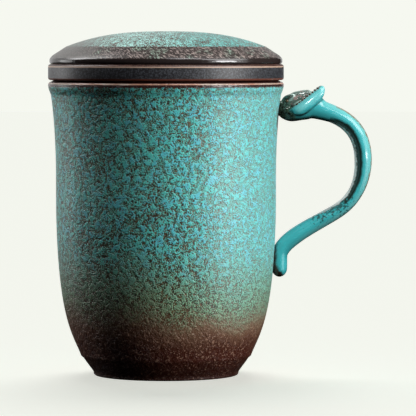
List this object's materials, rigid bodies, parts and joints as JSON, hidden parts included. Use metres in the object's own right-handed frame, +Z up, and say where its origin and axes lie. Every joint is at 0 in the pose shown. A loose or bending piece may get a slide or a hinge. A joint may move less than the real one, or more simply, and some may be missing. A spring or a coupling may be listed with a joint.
{
  "type": "lidded tea mug with infuser",
  "caption": "Straight-sided ceramic tea mug with a flared lip, a beast-head loop handle, a lift-out ceramic infuser basket that rests on the lip and a domed lid.",
  "frame": {"origin": "centre of the foot ring on the table", "axes": "+Z up along the cup's axis, +X from the axis towards the handle, +Y away from the viewer of the picture"},
  "size_m": [0.1199, 0.0872, 0.1273],
  "materials": {
    "cup_glaze": "crackled turquoise glaze over dark stoneware",
    "handle_glaze": "smooth glossy turquoise glaze, dark where it pooled",
    "head_glaze": "dark brown and green glaze with turquoise rolls",
    "infuser_glaze": "dark satin glaze",
    "lid_glaze": "crackled turquoise glaze, brown towards the edge"
  },
  "bodies": {
    "cup": {"cup_body": "cup_glaze", "handle": "handle_glaze", "handle_head": "head_glaze"},
    "infuser": {"infuser": "infuser_glaze"},
    "lid": {"lid": "lid_glaze"}
  },
  "joints": [
    {"name": "infuser_lift", "type": "slide", "parent": "cup", "child": "infuser", "axis": [0, 0, 1], "range_m": [0, 0.09]},
    {"name": "lid_lift", "type": "slide", "parent": "infuser", "child": "lid", "axis": [0, 0, 1], "range_m": [0, 0.06]}
  ]
}
